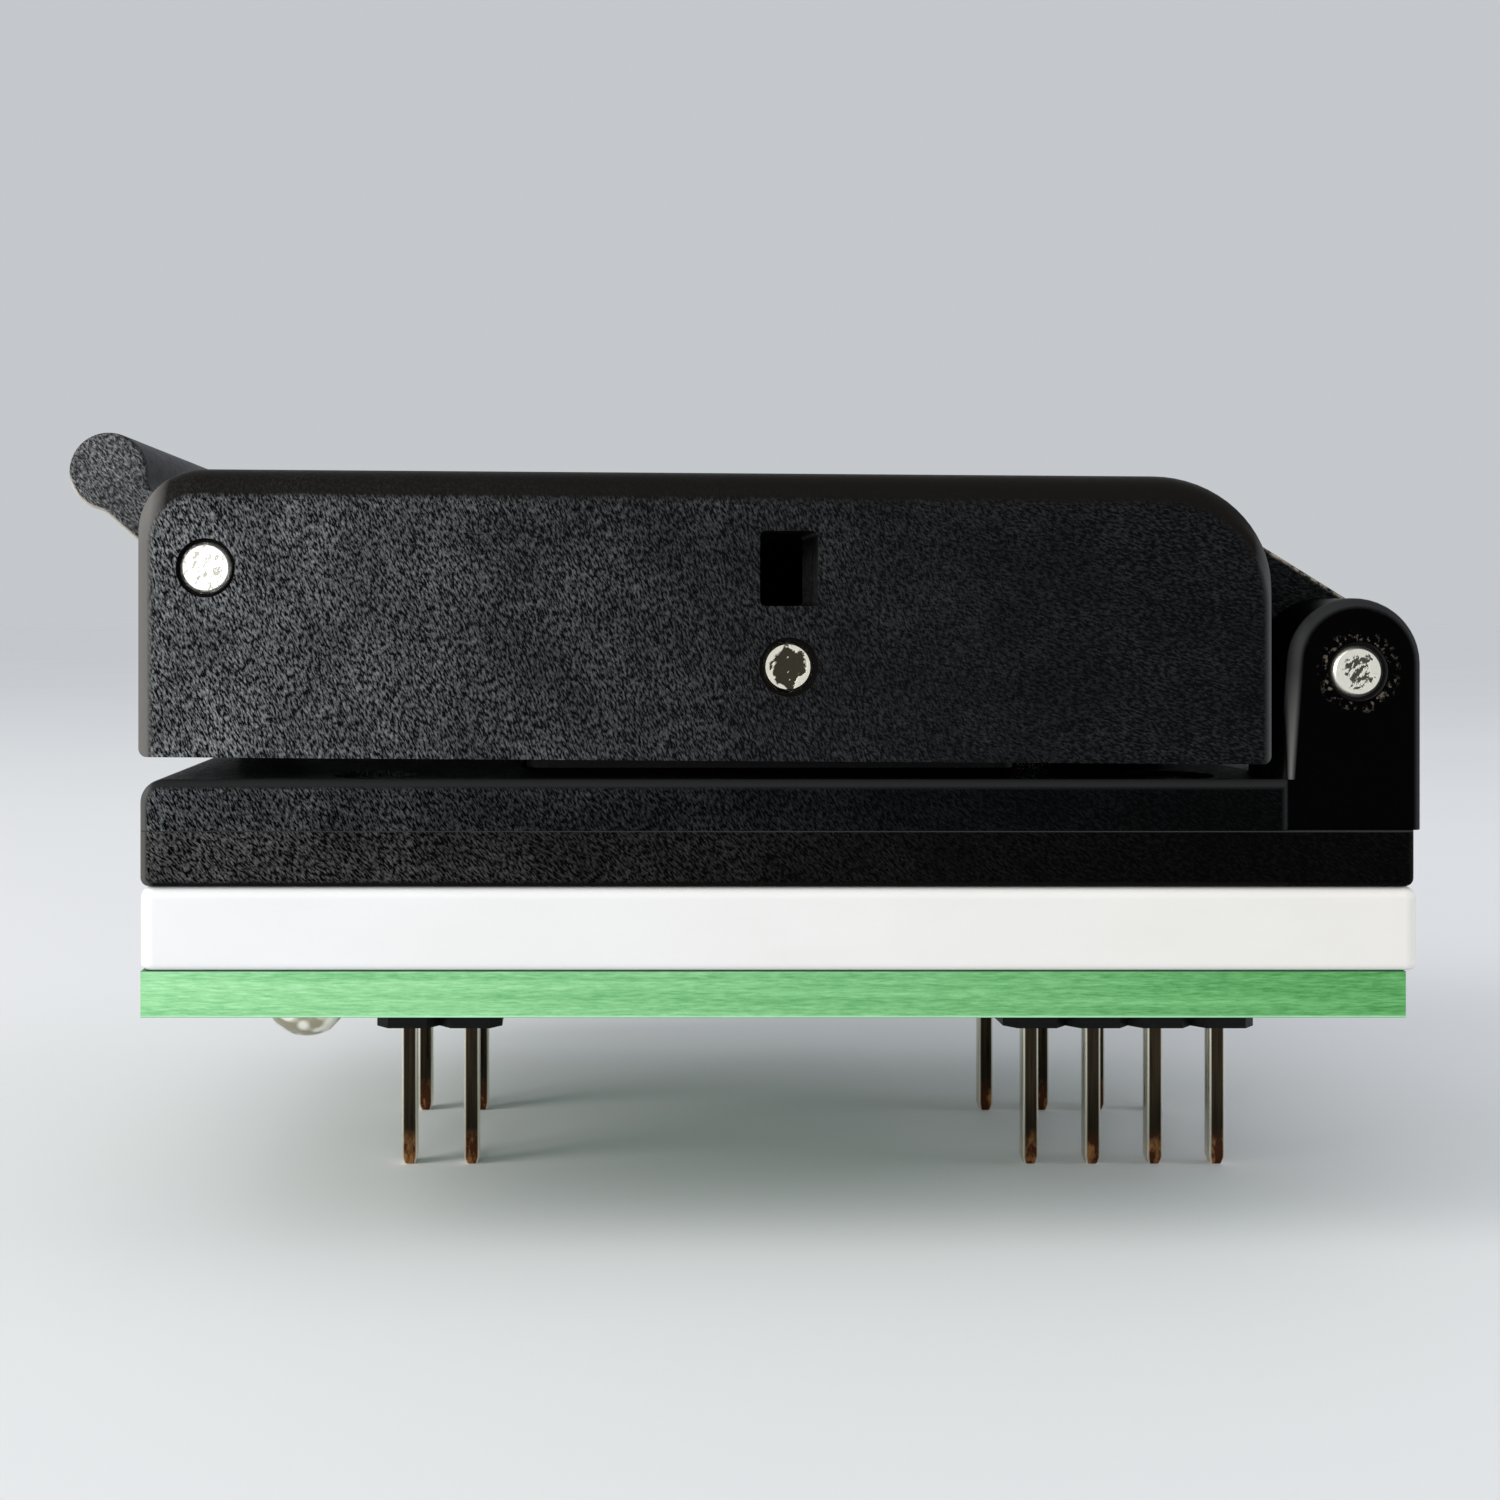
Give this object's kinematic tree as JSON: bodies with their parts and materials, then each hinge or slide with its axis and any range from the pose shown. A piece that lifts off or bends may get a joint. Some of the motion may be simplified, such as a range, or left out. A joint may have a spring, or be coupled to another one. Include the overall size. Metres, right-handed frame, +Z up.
{
  "type": "ic socket adapter",
  "caption": "Clamshell chip test socket with a hinged, latched lid on an adapter board with pin headers.",
  "frame": {"origin": "centre of the pin grid, on the seating face of the headers' insulators", "axes": "+X from the latch to the hinge, along the pin rows; +Y to the rear; +Z up to the lid; pins point along -Z"},
  "size_m": [0.0484, 0.03, 0.0291],
  "materials": {
    "board": "green glass-fibre laminate, satin mask",
    "spacer": "white, fine matte",
    "base_moulding": "black glass-filled, fine matte grain",
    "lid_moulding": "black glass-filled, fine matte grain",
    "lever_moulding": "black glass-filled, satin on the bar",
    "block_moulding": "dark brown-black, matte",
    "guide_moulding": "black, matte",
    "press_metal": "machined, satin",
    "shaft_steel": "ground steel, bright",
    "spring_steel": "drawn wire",
    "screw_steel": "turned, zinc plated",
    "stake_brass": "tinned brass wire",
    "solder": "tin solder, wetted, bright",
    "contact_gold": "gold plated",
    "header_insulator": "black, matte",
    "header_pin": "gold plated, thin"
  },
  "bodies": {
    "base": {"circuit_board": "board", "spacer_plate": "spacer", "socket_lower": "base_moulding", "socket_upper": "base_moulding", "contact_block": "block_moulding", "contact_barrels": "contact_gold", "guide_springs": "spring_steel", "base_screws": "screw_steel", "fixing_stakes": "stake_brass", "solder_joints": "solder", "hinge_pin": "shaft_steel", "lid_springs": "spring_steel", "header_strip_front_left": "header_insulator", "header_strip_front_right": "header_insulator", "header_strip_rear_left": "header_insulator", "header_strip_rear_right": "header_insulator", "header_pins_front_left": "header_pin", "header_pins_front_right": "header_pin", "header_pins_rear_left": "header_pin", "header_pins_rear_right": "header_pin"},
    "lid": {"lid_shell": "lid_moulding", "lid_cross_pin": "shaft_steel", "latch_pin": "shaft_steel", "latch_spring": "spring_steel"},
    "latch": {"latch_lever": "lever_moulding"},
    "pusher": {"pressure_block": "press_metal", "pressure_pad": "press_metal"},
    "guide": {"chip_guide": "guide_moulding"},
    "contacts": {"contact_plungers": "contact_gold"}
  },
  "joints": [
    {"name": "lid_hinge", "type": "hinge", "parent": "base", "child": "lid", "pos_m": [0.01742, 0, 0.01471], "axis": [0, 1, 0], "range_deg": [0, 100], "deforming": ["lid_springs"]},
    {"name": "latch_pivot", "type": "hinge", "parent": "lid", "child": "latch", "pos_m": [-0.02253, 0, 0.0183], "axis": [0, -1, 0], "range_deg": [0, 14], "stiffness_Nm_per_rad": 0.02, "springref_deg": -28.65, "deforming": ["latch_spring"]},
    {"name": "plate_rock", "type": "hinge", "parent": "lid", "child": "pusher", "pos_m": [-0.00237, 0, 0.01487], "axis": [0, 1, 0], "range_deg": [-2.5, 2.5]},
    {"name": "guide_float", "type": "slide", "parent": "base", "child": "guide", "axis": [0, 0, -1], "range_m": [0, 0.0004], "stiffness_N_per_m": 400, "springref_m": -0.0005, "deforming": ["guide_springs"]},
    {"name": "contact_press", "type": "slide", "parent": "base", "child": "contacts", "axis": [0, 0, -1], "range_m": [0, 0.00025], "stiffness_N_per_m": 100, "springref_m": -0.001}
  ]
}
